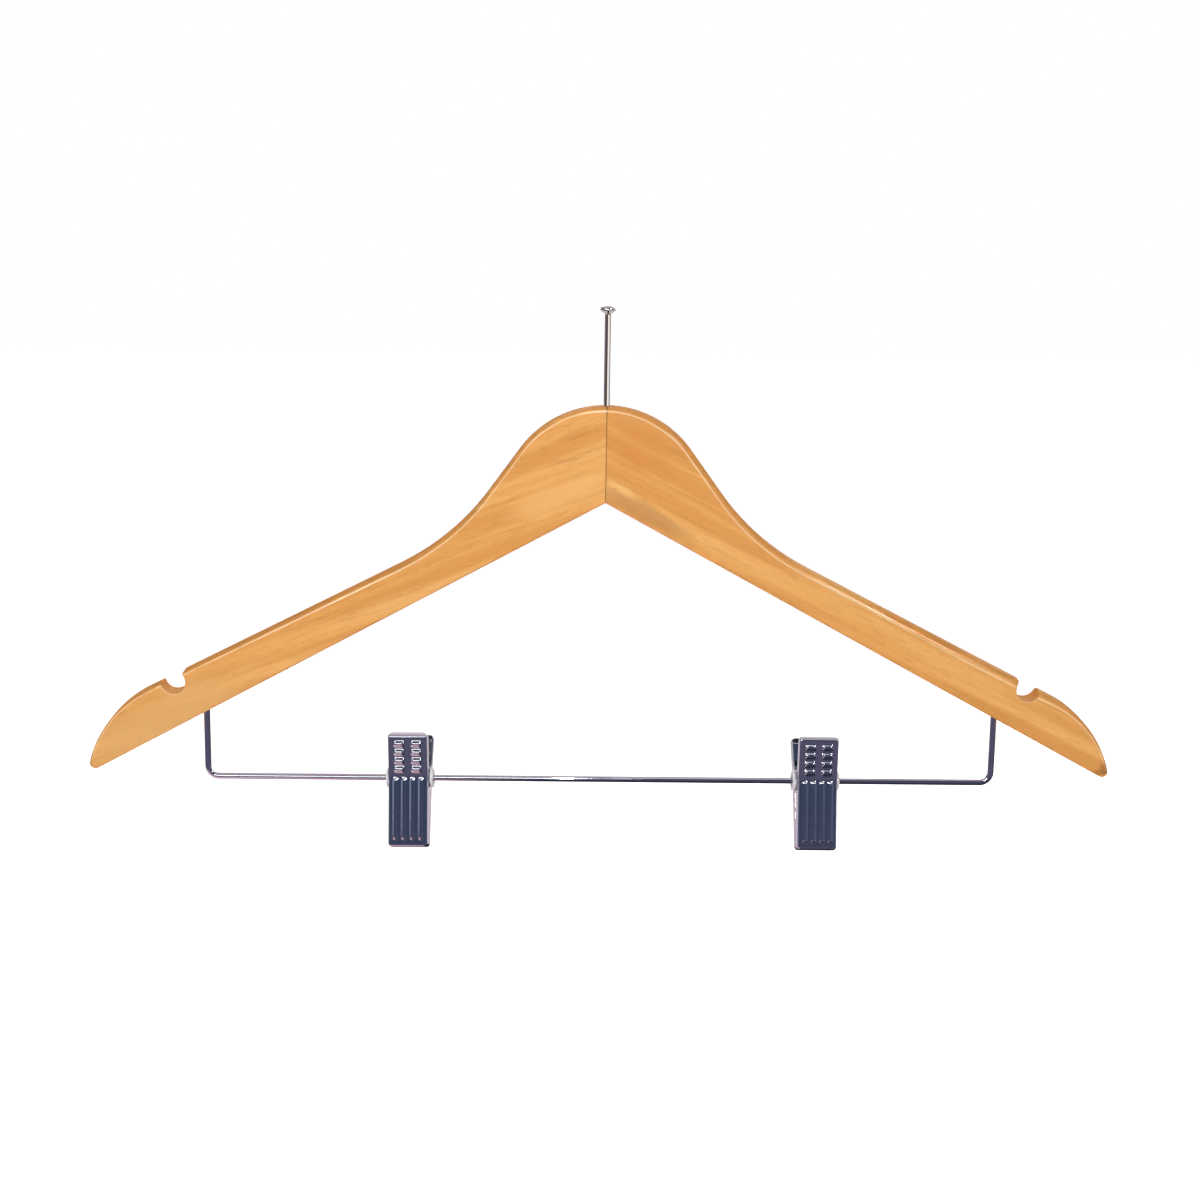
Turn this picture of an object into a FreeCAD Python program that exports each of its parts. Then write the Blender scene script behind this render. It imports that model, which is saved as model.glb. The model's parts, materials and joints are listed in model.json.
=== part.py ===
import FreeCAD, Part
import math
import os

# A wooden skirt hanger with a nail-headed security pin, a wire bar and two sprung clips.
# Lengths are in millimetres and angles in degrees. X runs along the hanger, the front faces -Y
# and Z is up. The origin is the middle of the pin's head, by which the hanger is held.

# Driving dimensions of the two wooden arms
hanger_width = 445.0
arm_thickness = 12.0
neck_height = 40.8
dome_radius = 45.0
neck_slope = 54.0
shoulder_radius = 105.0
under_slope = 28.58
arm_taper = 1.45
arm_depth = 19.8
tip_curve_radius = 50.0
tip_round = 2.5
dome_round = 2.0
left_neck_round = 2.0
right_neck_round = 3.2
under_round = 1.4
left_blade_round = 1.2
right_blade_round = 3.1
notch_radius = 5.2
notch_sink = 1.7
notch_from_tip = 36.5
notch_ease = 0.4
tongue_reach = 8.0
tongue_thickness = 2.0
tongue_offset = 3.0

# Driving dimensions of the security pin
pin_radius = 1.4
pin_free_length = 40.7
pin_embed = 26.0
pin_point = 3.0
pin_ring_pitch = 2.0
pin_ring_depth = 0.25
pin_ring_count = 8
head_radius = 3.4
head_rim = 0.8
head_crown = 1.3
head_taper = 1.4

# Driving dimensions of the wire bar
bar_radius = 1.4
bar_leg_from_tip = 50.6
bar_drop = 30.2
bar_bend_radius = 4.7
bar_insert = 12.0

# Driving dimensions of the clips, each drawn about its own pivot before it is hung on the bar
left_clip_reach = 83.6
right_clip_reach = 94.3
clip_swing = 20.0
clip_skew = 5.0
clip_width = 17.4
sheet = 0.8
handle_rise = 19.2
jaw_drop = 30.5
handle_half_depth = 12.2
pivot_half_depth = 7.4
mouth_half_depth = 4.5
flange_depth = 4.3
plate_bend_radius = 12.0
press_round = 1.1
ear_radius = 4.8
rib_radius = 1.7
rib_rise = 0.7
rib_pitch = 3.75
rib_count = 4
rib_top_drop = 1.7
rib_foot_rise = 4.3
dash_length = 5.9
dash_column_gap = 7.5
dash_first_rise = 3.0
dash_row_pitch = 3.6
dash_row_count = 4
bush_wall = 0.7
bush_flange_radius = 4.4
bush_flange = 1.5
bush_flange_round = 0.6
spring_wire_radius = 0.5
spring_turns = 3
spring_turn_gap = 0.6
spring_leg_length = 15.0

# Clearances
fit_clearance = 0.02
running_clearance = 0.05
slide_clearance = 0.1
ear_clearance = 0.12
recess_clearance = 0.4
mouth_clearance = 0.2
hole_end_clearance = 0.5
flange_clearance = 0.15
spring_clearance = 0.3
leg_clearance = 0.15
overrun = 1.0
same_place = 0.001

V = FreeCAD.Vector
ORIGIN = V(0, 0, 0)
ALONG = V(1, 0, 0)
THROUGH = V(0, 1, 0)
UP = V(0, 0, 1)
QUARTER_TURN = 90.0
HALF_TURN = 180.0
FULL_TURN = 360.0
rim_samples = 5


def sin(angle):
    return math.sin(math.radians(angle))


def cos(angle):
    return math.cos(math.radians(angle))


def tan(angle):
    return math.tan(math.radians(angle))


def unit(vector):
    return vector / vector.Length


def line(start, end):
    return Part.LineSegment(start, end).toShape()


def lines(points):
    return [line(start, end) for start, end in zip(points, points[1:])]


def arc_about(centre, start, end):
    """Shorter arc from start to end about a centre."""
    middle = centre + unit(start + end - centre * 2) * (start - centre).Length
    return Part.Arc(start, middle, end).toShape()


def rounded_corner(before, corner, after, radius):
    """Arc of a given radius that rounds off the corner between two straight runs."""
    back = unit(before - corner)
    onward = unit(after - corner)
    half_turn = (math.pi - back.getAngle(onward)) / 2
    run = radius * math.tan(half_turn)
    middle = corner + unit(back + onward) * (radius / math.cos(half_turn) - radius)
    return Part.Arc(corner + back * run, middle, corner + onward * run).toShape()


def ends(edge):
    return edge.firstVertex().Point, edge.lastVertex().Point


def in_plane(point):
    """Point carried along Y into the hanger's middle plane."""
    return V(point.x, 0, point.z)


def box(low, high):
    size = high - low
    return Part.makeBox(size.x, size.y, size.z, low)


def rod(radius, half_length):
    """Cylinder along X, centred on the pivot."""
    return Part.makeCylinder(radius, half_length * 2, ALONG * -half_length, ALONG)


def slab(edges, half_length):
    """Closed outline in the YZ plane, extruded along X to both sides."""
    face = Part.Face(Part.Wire(edges))
    face.translate(ALONG * -half_length)
    return face.extrude(ALONG * half_length * 2)


# Places that the arms, the pin and the bar share
half_width = hanger_width / 2
dome_z = -pin_free_length
seam_foot_z = dome_z - neck_height
top_slope = under_slope - arm_taper
arm_down = V(cos(top_slope), 0, -sin(top_slope))
arm_inward = V(-sin(top_slope), 0, -cos(top_slope))
notch_x = half_width - notch_from_tip
leg_x = half_width - bar_leg_from_tip


def under_z(x):
    """Height of the arm's straight underside at a distance x from the seam."""
    return seam_foot_z - x * tan(under_slope)


def top_z(x):
    """Height of the arm's straight upper edge, set by the arm's depth at the notch."""
    notch_top = under_z(notch_x) + arm_depth / cos(under_slope)
    return notch_top - (x - notch_x) * tan(top_slope)


leg_top_z = under_z(leg_x) + bar_insert
bar_z = under_z(leg_x) - bar_drop


def tip_edges():
    """Long curve of the blade's end and the small round that joins it to the underside."""
    tip_x = half_width - tip_round
    tip = V(tip_x, 0, under_z(tip_x) + tip_round / cos(under_slope))
    start = V(0, 0, top_z(0)) + arm_inward * tip_curve_radius
    offset = start - tip
    along = offset.dot(arm_down)
    reach = (tip_curve_radius - tip_round) ** 2 - offset.dot(offset) + along ** 2
    centre = start - arm_down * (along + math.sqrt(reach))
    curve_end = centre + unit(tip - centre) * tip_curve_radius
    tip_side = tip + V(cos(under_slope), 0, -sin(under_slope)) * tip_round
    tip_foot = tip - V(sin(under_slope), 0, cos(under_slope)) * tip_round
    return [
        arc_about(centre, centre - arm_inward * tip_curve_radius, curve_end),
        Part.Arc(curve_end, tip_side, tip_foot).toShape(),
    ]


def arm_outline(neck_round, blade_round):
    """Edges of the right arm from dome to underside, with the round each one starts and ends with."""
    blade, tip = tip_edges()
    dome_centre = V(0, 0, dome_z - dome_radius)
    dome_top = V(0, 0, dome_z)
    dome_end = dome_centre + V(sin(neck_slope), 0, cos(neck_slope)) * dome_radius
    fall = dome_end.z + dome_end.x * tan(neck_slope) - top_z(0)
    corner_x = fall / (tan(neck_slope) - tan(top_slope))
    corner = V(corner_x, 0, top_z(corner_x))
    hollow = rounded_corner(dome_end, corner, ends(blade)[0], shoulder_radius)
    return [
        (arc_about(dome_centre, dome_top, dome_end), dome_round, neck_round),
        (line(dome_end, ends(hollow)[0]), neck_round, neck_round),
        (hollow, neck_round, neck_round),
        (line(ends(hollow)[1], ends(blade)[0]), neck_round, blade_round),
        (blade, blade_round, under_round),
        (tip, under_round, under_round),
        (line(ends(tip)[1], V(0, 0, seam_foot_z)), under_round, under_round),
    ]


def rounded_arm(neck_round, blade_round):
    """Right arm with rounded rims, whose round grows or shrinks towards the blade. The seam is flat."""
    outline = arm_outline(neck_round, blade_round)
    edges = [edge for edge, _, _ in outline]
    seam = line(ends(edges[-1])[1], ends(edges[0])[0])
    face = Part.Face(Part.Wire(edges + [seam]))
    face.translate(THROUGH * (-arm_thickness / 2))
    blank = face.extrude(THROUGH * arm_thickness)
    rims = []
    for number, rim in enumerate(blank.Edges, 1):
        for edge, start_round, end_round in outline:
            if (in_plane(rim.CenterOfMass) - edge.CenterOfMass).Length > same_place:
                continue
            if (in_plane(ends(rim)[0]) - ends(edge)[0]).Length < same_place:
                rims.append((number, start_round, end_round))
            else:
                rims.append((number, end_round, start_round))
    document = FreeCAD.newDocument()
    base = document.addObject("Part::Feature", "blank")
    base.Shape = blank
    rounded = document.addObject("Part::Fillet", "rounded")
    rounded.Base = base
    rounded.Edges = rims
    document.recompute()
    arm = rounded.Shape.copy()
    FreeCAD.closeDocument(document.Name)
    return arm


def notched_arm(neck_round, blade_round):
    """Rounded right arm with the strap notch milled through it and the notch's rim eased."""
    centre = V(notch_x, 0, top_z(notch_x)) + arm_inward * notch_sink
    half_cut = arm_thickness / 2 + overrun
    cutter = Part.makeCylinder(notch_radius, half_cut * 2, centre - THROUGH * half_cut, THROUGH)
    arm = rounded_arm(neck_round, blade_round).cut(cutter)
    rim = []
    for edge in arm.Edges:
        gaps = [(in_plane(point) - centre).Length - notch_radius for point in edge.discretize(rim_samples)]
        if max(map(abs, gaps)) < same_place:
            rim.append(edge)
    return arm.makeFillet(notch_ease, rim)


def make_arms():
    """Two arms locked at the seam by two tongues, drilled for the pin and the bar's legs."""
    left = notched_arm(left_neck_round, left_blade_round).mirror(ORIGIN, ALONG)
    right = notched_arm(right_neck_round, right_blade_round)
    tongues = []
    for side in (-1, 1):
        middle = side * tongue_offset
        low = V(0, middle - tongue_thickness / 2, under_z(tongue_reach) - overrun)
        high = V(tongue_reach, middle + tongue_thickness / 2, dome_z + overrun)
        tongues.append(box(low, high))
    left = left.fuse([right.common(tongue) for tongue in tongues]).removeSplitter()
    right = right.cut(tongues)
    hole_depth = pin_embed + hole_end_clearance
    pin_hole = Part.makeCylinder(
        pin_radius + fit_clearance, hole_depth + overrun, V(0, 0, dome_z - hole_depth), UP)
    leg_hole_height = leg_top_z + hole_end_clearance - bar_z
    drilled = []
    for arm, side in ((left, -1), (right, 1)):
        leg_hole = Part.makeCylinder(
            bar_radius + fit_clearance, leg_hole_height, V(side * leg_x, 0, bar_z), UP)
        drilled.append(arm.cut([pin_hole, leg_hole]))
    return drilled


def make_pin():
    """Nail-headed pin turned about Z: crowned head, plain shank, ring grooves and a point."""
    crown_share = math.sqrt(0.5)
    tip_z = dome_z - pin_embed
    crown_top = V(0, 0, head_rim / 2 + head_crown)
    crown_middle = V(head_radius * crown_share, 0, head_rim / 2 + head_crown * crown_share)
    rim_top = V(head_radius, 0, head_rim / 2)
    profile = [rim_top, V(head_radius, 0, -head_rim / 2)]
    profile.append(V(pin_radius, 0, -head_rim / 2 - head_taper))
    for index in range(pin_ring_count, 0, -1):
        crest_z = tip_z + pin_point + index * pin_ring_pitch
        profile.append(V(pin_radius, 0, crest_z))
        profile.append(V(pin_radius - pin_ring_depth, 0, crest_z - pin_ring_pitch / 2))
    profile.append(V(pin_radius, 0, tip_z + pin_point))
    profile.append(V(0, 0, tip_z))
    outline = [
        line(V(0, 0, tip_z), crown_top),
        Part.Arc(crown_top, crown_middle, rim_top).toShape(),
        *lines(profile),
    ]
    return Part.Face(Part.Wire(outline)).revolve(ORIGIN, UP, FULL_TURN)


def make_bar():
    """Round wire bent to a wide U, whose legs stand in the blind holes of the arms."""
    corners = [
        V(-leg_x, 0, leg_top_z),
        V(-leg_x, 0, bar_z),
        V(leg_x, 0, bar_z),
        V(leg_x, 0, leg_top_z),
    ]
    left_bend = rounded_corner(*corners[:3], bar_bend_radius)
    right_bend = rounded_corner(*corners[1:], bar_bend_radius)
    path = Part.Wire([
        line(corners[0], ends(left_bend)[0]),
        left_bend,
        line(ends(left_bend)[1], ends(right_bend)[0]),
        right_bend,
        line(ends(right_bend)[1], corners[3]),
    ])
    section = Part.Wire(Part.makeCircle(bar_radius, corners[0], UP))
    return path.makePipeShell([section], True, False)


# Places that the pieces of a clip share, about the clip's own pivot
half_clip = clip_width / 2
handle_lean = (handle_half_depth - pivot_half_depth) / handle_rise
mouth_lean = (pivot_half_depth - mouth_half_depth) / jaw_drop
handle_angle = math.degrees(math.atan(handle_lean))
bush_half_length = half_clip + flange_clearance + bush_flange
bore_radius = bar_radius / cos(clip_skew) + bush_half_length * tan(clip_skew) + slide_clearance
bush_radius = bore_radius + bush_wall
ear_hole_radius = bush_radius + running_clearance
coil_radius = bush_radius + spring_clearance + spring_wire_radius


def plate_point(z, depth):
    """Point of the front jaw's plate at height z, at a depth under its outer face."""
    lean = handle_lean if z > 0 else mouth_lean
    return V(0, depth * math.hypot(1, lean) - pivot_half_depth - z * lean, z)


def plate_edges(depth, bend_radius):
    """Bent line of the front jaw's plate at a depth under its outer face, from top to foot."""
    top = plate_point(handle_rise - depth, depth)
    foot = plate_point(depth - jaw_drop, depth)
    spread = math.hypot(1, handle_lean) - math.hypot(1, mouth_lean)
    bend_z = depth * spread / (handle_lean - mouth_lean)
    corner = V(0, depth * math.hypot(1, mouth_lean) - pivot_half_depth - bend_z * mouth_lean, bend_z)
    bend = rounded_corner(top, corner, foot, bend_radius)
    return [line(top, ends(bend)[0]), bend, line(ends(bend)[1], foot)]


def capsule(start, end):
    """Raised pressing: a round-ended bar that stands out of the plate by rib_rise."""
    run = end - start
    bar = Part.makeCylinder(rib_radius, run.Length, start, run)
    return bar.fuse([Part.makeSphere(rib_radius, start), Part.makeSphere(rib_radius, end)])


def pressings():
    """Long ribs down the jaw and two columns of short dashes across the handle."""
    depth = rib_radius - rib_rise
    rib_top = plate_point(-rib_top_drop, depth)
    rib_foot = plate_point(rib_foot_rise - jaw_drop, depth)
    shapes = []
    for index in range(rib_count):
        across = ALONG * (rib_pitch * (index - (rib_count - 1) / 2))
        shapes.append(capsule(rib_top + across, rib_foot + across))
    half_dash = ALONG * (dash_length / 2 - rib_radius)
    for row in range(dash_row_count):
        row_point = plate_point(dash_first_rise + row * dash_row_pitch, depth)
        for side in (-1, 1):
            middle = row_point + ALONG * (side * dash_column_gap / 2)
            shapes.append(capsule(middle - half_dash, middle + half_dash))
    return shapes


def jaw_tray():
    """Front jaw's pressed tray, closed on four sides, before its ears are made."""
    outer = plate_edges(0, plate_bend_radius)
    top, foot = ends(outer[0])[0], ends(outer[-1])[1]
    rim = [
        foot,
        V(0, -mouth_clearance, foot.z),
        V(0, -mouth_clearance, 0),
        V(0, flange_depth - pivot_half_depth, 0),
        V(0, top.y + flange_depth, top.z),
        top,
    ]
    tray = slab(outer + lines(rim), half_clip)
    folds = []
    for edge in tray.Edges:
        middle = edge.CenterOfMass
        at_side = abs(middle.x) > half_clip - sheet / 2
        at_lip = middle.z > top.z - sheet / 2 or middle.z < foot.z + sheet / 2
        on_plate = middle.y < plate_point(middle.z, sheet / 2).y
        if (at_side and (at_lip or on_plate)) or (at_lip and on_plate):
            folds.append(edge)
    return tray.makeFillet(press_round, folds).fuse(pressings())


def jaw_hollow():
    """Space inside the tray, open towards the other jaw."""
    inner = plate_edges(sheet, plate_bend_radius + sheet)
    top, foot = ends(inner[0])[0], ends(inner[-1])[1]
    mouth_y = ear_radius + overrun
    rim = [foot, V(0, mouth_y, foot.z), V(0, mouth_y, top.z), top]
    return slab(inner + lines(rim), half_clip - sheet)


def make_front_jaw():
    """Front jaw, whose outer ears turn on the bush."""
    ears = rod(ear_radius, half_clip)
    jaw = jaw_tray().fuse(ears).cut(jaw_hollow())
    return jaw.cut(rod(ear_hole_radius, half_clip + overrun))


def make_back_jaw():
    """Back jaw, whose joggled ears lie inside the front jaw's, drawn in front and mirrored."""
    outer_x = half_clip - sheet
    inner_x = outer_x - ear_clearance - sheet
    recess_radius = ear_radius + recess_clearance
    plate_y = plate_point(0, sheet / 2).y
    jaw = jaw_tray().cut(jaw_hollow())
    ear = rod(ear_radius, outer_x).fuse(
        box(V(-outer_x, plate_y, -ear_radius), V(outer_x, 0, ear_radius)))
    jaw = jaw.fuse(ear.cut(rod(recess_radius, inner_x).fuse(
        box(V(-inner_x, plate_y, -ear_radius), V(inner_x, ear_radius, ear_radius)))))
    for side in (-1, 1):
        start = ALONG * (side * (outer_x - ear_clearance))
        jaw = jaw.cut(Part.makeCylinder(recess_radius, sheet + overrun, start, ALONG * side))
    jaw = jaw.cut(rod(ear_hole_radius, half_clip + overrun))
    return jaw.mirror(ORIGIN, THROUGH)


def make_bush():
    """Plastic bush with a flange at each end, on which the jaws turn and which runs on the bar."""
    bush = rod(bush_radius, bush_half_length)
    for side in (-1, 1):
        start = ALONG * (side * (bush_half_length - bush_flange))
        flange = Part.makeCylinder(bush_flange_radius, bush_flange, start, ALONG * side)
        bush = bush.fuse(flange.makeFillet(bush_flange_round, flange.Edges))
    return bush.cut(rod(bore_radius, bush_half_length + overrun))


def biarc(start, start_way, end, end_way):
    """Two arcs that join two points with given directions."""
    span = end - start
    a = 2 * (start_way.dot(end_way) - 1)
    b = -2 * span.dot(start_way + end_way)
    reach = (-b - math.sqrt(b * b - 4 * a * span.dot(span))) / (2 * a)
    first, second = start + start_way * reach, end - end_way * reach
    joint = (first + second) / 2
    edges = []
    for low, control, high in ((start, first, joint), (joint, second, end)):
        chord_middle = (low + high) / 2
        half_chord = (low - chord_middle).Length
        lean = math.acos(half_chord / (control - low).Length)
        rise = half_chord * math.tan(lean / 2)
        edges.append(Part.Arc(low, chord_middle + unit(control - chord_middle) * rise, high).toShape())
    return edges


def spring_path():
    """Wire's line: a straight leg, a wound coil about the bush and a second straight leg."""
    inner_depth = pivot_half_depth - sheet * math.hypot(1, handle_lean)
    leg_room = inner_depth * cos(handle_angle) - spring_wire_radius - leg_clearance
    leg_span = math.hypot(coil_radius, spring_leg_length)
    leg_angle = handle_angle + math.degrees(
        math.asin(leg_room / leg_span) - math.atan2(coil_radius, spring_leg_length))
    sweep = HALF_TURN - 2 * leg_angle + FULL_TURN * spring_turns
    advance = (2 * spring_wire_radius + spring_turn_gap) / FULL_TURN
    slope = math.degrees(advance)

    def coil_point(angle):
        turned = HALF_TURN + leg_angle + angle
        return V(advance * (angle - sweep / 2), coil_radius * cos(turned), coil_radius * sin(turned))

    def coil_way(angle):
        turned = HALF_TURN + leg_angle + angle
        return unit(V(slope, -coil_radius * sin(turned), coil_radius * cos(turned)))

    steps = round(sweep / QUARTER_TURN)
    angles = [sweep * index / steps for index in range(steps + 1)]
    edges = [line(coil_point(0) - coil_way(0) * spring_leg_length, coil_point(0))]
    for low, high in zip(angles, angles[1:]):
        edges += biarc(coil_point(low), coil_way(low), coil_point(high), coil_way(high))
    edges.append(line(coil_point(sweep), coil_point(sweep) + coil_way(sweep) * spring_leg_length))
    return edges


def least_self_gap(edges):
    """Least clear space between stretches of the wire that are over half a turn apart."""
    points = []
    for edge in edges:
        points += edge.discretize(Distance=spring_wire_radius)[:-1]
    apart = round(math.pi * coil_radius / spring_wire_radius)
    gaps = []
    for index, point in enumerate(points):
        gaps += [(point - other).Length for other in points[index + apart:]]
    return min(gaps) - 2 * spring_wire_radius


def make_spring():
    """Torsion spring of round wire wound about the bush, with a leg against each handle."""
    edges = spring_path()
    print("least gap between the spring's turns", round(least_self_gap(edges), 2))
    start, onward = ends(edges[0])
    section = Part.Wire(Part.makeCircle(spring_wire_radius, start, onward - start))
    return Part.Wire(edges).makePipeShell([section], True, False)


def hang_clip(shape, reach, skew):
    """Twist a clip's piece as it hangs loosely on the bar, swing it back and carry it there."""
    piece = shape.copy()
    piece.rotate(ORIGIN, UP, skew)
    piece.rotate(ORIGIN, ALONG, -clip_swing)
    piece.translate(V(reach, 0, bar_z))
    return piece


def build():
    """Every piece of the hanger by its name."""
    left_arm, right_arm = make_arms()
    pieces = {
        "left_arm": left_arm,
        "right_arm": right_arm,
        "security_pin": make_pin(),
        "clip_bar": make_bar(),
    }
    clip_pieces = {
        "front_jaw": make_front_jaw(),
        "back_jaw": make_back_jaw(),
        "bush": make_bush(),
        "spring": make_spring(),
    }
    for name, shape in clip_pieces.items():
        pieces["left_clip_" + name] = hang_clip(shape, -left_clip_reach, -clip_skew)
        pieces["right_clip_" + name] = hang_clip(shape, right_clip_reach, clip_skew)
    return pieces


os.makedirs("parts", exist_ok=True)
for node, shape in build().items():
    solids = shape.Solids
    assert len(solids) == 1 and solids[0].isValid(), node
    solids[0].exportStep(os.path.join("parts", node + ".step"))
    print(node, "volume", round(solids[0].Volume, 1))
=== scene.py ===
# %% [markdown]
# A wooden skirt hanger with a security pin, a wire bar and two sprung clips.
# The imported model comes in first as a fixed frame: each CAD node is an object whose place is in its mesh.
# Every piece made below is drawn in the same frame, in metres, so nothing has to be fitted afterwards.

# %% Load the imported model
import json
import math

import bmesh
import bpy
from mathutils import Matrix, Quaternion, Vector


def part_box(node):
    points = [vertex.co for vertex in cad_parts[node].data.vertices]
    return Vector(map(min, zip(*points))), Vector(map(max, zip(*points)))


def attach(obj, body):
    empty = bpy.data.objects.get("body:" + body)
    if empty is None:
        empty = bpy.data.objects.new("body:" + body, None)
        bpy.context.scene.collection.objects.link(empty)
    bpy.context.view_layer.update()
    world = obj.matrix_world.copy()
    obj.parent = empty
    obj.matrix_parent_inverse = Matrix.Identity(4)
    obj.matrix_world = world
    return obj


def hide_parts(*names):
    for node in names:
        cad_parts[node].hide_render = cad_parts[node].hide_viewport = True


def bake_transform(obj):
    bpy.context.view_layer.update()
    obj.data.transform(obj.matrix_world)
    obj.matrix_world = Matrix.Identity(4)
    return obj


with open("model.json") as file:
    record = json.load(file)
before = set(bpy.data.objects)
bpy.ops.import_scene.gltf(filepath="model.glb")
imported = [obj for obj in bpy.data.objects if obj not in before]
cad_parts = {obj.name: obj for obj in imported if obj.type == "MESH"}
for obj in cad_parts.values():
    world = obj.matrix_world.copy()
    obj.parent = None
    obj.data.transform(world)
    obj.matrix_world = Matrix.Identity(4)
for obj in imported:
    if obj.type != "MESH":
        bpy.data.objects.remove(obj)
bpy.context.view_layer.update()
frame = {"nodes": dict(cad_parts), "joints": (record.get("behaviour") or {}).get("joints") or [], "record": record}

mm = 0.001
print("CAD nodes:", ", ".join(sorted(frame["nodes"])))

# %% [markdown]
# Colours are written as the eye knows them, in sRGB hex, but a shader works in linear light, so one function
# turns the first into the second. A finish is then built from nodes: one function starts it, one adds a node
# with its settings and links, and one fills in the inputs of a node that is already there.

# %% Colour and node helpers
def linear(code):
    """Linear red, green, blue and alpha of an sRGB hex colour."""
    parts = [int(code[place:place + 2], 16) / 255 for place in (1, 3, 5)]
    return [part / 12.92 if part <= 0.04045 else ((part + 0.055) / 1.055) ** 2.4 for part in parts] + [1]


def feed(tree, node, sockets):
    """Give a node's inputs their values or links."""
    for name, value in sockets.items():
        if isinstance(value, bpy.types.NodeSocket):
            tree.links.new(value, node.inputs[name])
        else:
            node.inputs[name].default_value = value


def put(tree, kind, sockets, **settings):
    """Add a node: settings are its own properties, sockets are values or links for its inputs."""
    made = tree.nodes.new("ShaderNode" + kind)
    for name, value in settings.items():
        setattr(made, name, value)
    feed(tree, made, sockets)
    return made


def new_finish(name):
    """Start a finish, and return it with its node tree and its main shader."""
    finish = bpy.data.materials.new(name)
    finish.use_nodes = True
    return finish, finish.node_tree, finish.node_tree.nodes["Principled BSDF"]


print("honey brown in linear light:", [round(part, 3) for part in linear("#E6A65E")])

# %% [markdown]
# The photograph was taken from a little above, with the camera turned a touch to the right and not quite
# level. A camera can be keyed in by Euler angles, but aiming it at a point and then rolling it about its own
# axis keeps each of those three facts as one number.

# %% Camera at the photograph's angle
scene = bpy.context.scene
camera_data = bpy.data.cameras.new("photo_camera")
camera_data.sensor_width = 36
camera_data.lens = 62.55
camera = bpy.data.objects.new("photo_camera", camera_data)
scene.collection.objects.link(camera)
scene.camera = camera

aim = Vector((-1.59, 0, -124.71)) * mm
camera_away = 0.9
pitch, yaw, roll = math.radians(12.5), math.radians(1.2726), math.radians(0.8812)
look = Vector((math.sin(yaw) * math.cos(pitch), math.cos(yaw) * math.cos(pitch), -math.sin(pitch)))
camera.rotation_mode = "QUATERNION"
camera.rotation_quaternion = look.to_track_quat("-Z", "Y") @ Quaternion((0, 0, 1), roll)
camera.location = aim - look * camera_away
print("camera stands at", [round(part, 4) for part in camera.location])

# %% [markdown]
# Bright plating has hardly any colour of its own: it shows the room. In the photograph the background is
# white, and the room on the camera's side is dark and bluish, which turns the clips navy. So the world is
# white for the camera and for reflections, and dark cloths hang behind the camera and lie under the hanger
# where only reflections can see them, as a photographer puts black cards round shiny things.

# %% White surroundings
scene.view_settings.view_transform = "Standard"
world = bpy.data.worlds.new("white_studio")
world.use_nodes = True
scene.world = world
world_level = 0.45


def seen_share(tree, unseen, seen):
    """Socket that gives one number to rays from the camera, metal and glass, and another to all the rest."""
    ray = put(tree, "LightPath", {}).outputs
    mirror = put(tree, "Math", {0: ray["Is Glossy Ray"], 1: ray["Is Transmission Ray"]}, operation="ADD")
    either = put(tree, "Math", {0: ray["Is Camera Ray"], 1: mirror.outputs[0]},
                 operation="ADD", use_clamp=True)
    return put(tree, "MapRange", {"Value": either.outputs[0], "To Min": unseen, "To Max": seen}).outputs[0]


tree = world.node_tree
feed(tree, tree.nodes["Background"], {
    "Color": linear("#FFFFFF"),
    "Strength": seen_share(tree, world_level, 1.0),
})
print("world lights matt surfaces at", world_level, "and shows white to the camera and to metal")

# %% Pale floor
def object_of(bm, name, finish):
    """Turn a bmesh into an object with one finish."""
    mesh = bpy.data.meshes.new(name)
    bm.to_mesh(mesh)
    bm.free()
    mesh.materials.append(finish)
    made = bpy.data.objects.new(name, mesh)
    scene.collection.objects.link(made)
    return made


def stage_object(bm, name, finish):
    """Turn a bmesh into a piece of the studio."""
    made = object_of(bm, name, finish)
    return made


pale_paper, tree, shader = new_finish("pale_matt_paper")
feed(tree, shader, {
    "Base Color": linear("#F4EDEB"),
    "Roughness": 0.9,
    "Emission Color": linear("#FFFFFF"),
    "Emission Strength": seen_share(tree, 0.0, 0.6),
})

floor_z, floor_half = -0.62, 6
bm = bmesh.new()
floor_place = Matrix.Translation((0, 0, floor_z))
bmesh.ops.create_grid(bm, x_segments=1, y_segments=1, size=floor_half, matrix=floor_place)
stage_object(bm, "floor", pale_paper)
print("floor lies at", floor_z, "m, well under the hanging clips")

# %% Cloths for the reflections
def glowing_cloth(name, axis, start, end, first, last, brightness=1.0):
    """Glowing cloth that goes from one tone to another between two places on an axis, in metres."""
    cloth, tree, shader = new_finish(name)
    along = put(tree, "SeparateXYZ", {0: put(tree, "TexCoord", {}).outputs["Object"]}).outputs[axis]
    share = put(tree, "MapRange", {"Value": along, "From Min": start, "From Max": end})
    tone = put(tree, "Mix", {0: share.outputs[0], 6: linear(first), 7: linear(last)}, data_type="RGBA")
    feed(tree, shader, {
        "Emission Color": tone.outputs[2],
        "Emission Strength": brightness,
        "Base Color": linear("#000000"),
        "Specular IOR Level": 0,
    })
    return cloth


def plain_cloth(name, colour, brightness=1.0):
    """Cloth that glows in one tone."""
    return glowing_cloth(name, "X", -1.0, 1.0, colour, colour, brightness)


# %% Ways to hang a cloth
curtain_steps = 24


def reflected_only(made):
    """Let only mirror-like surfaces see a piece of the studio."""
    made.visible_camera = False
    made.visible_diffuse = False
    made.visible_transmission = False
    made.visible_shadow = False
    print("only reflections see", made.name)


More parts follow.
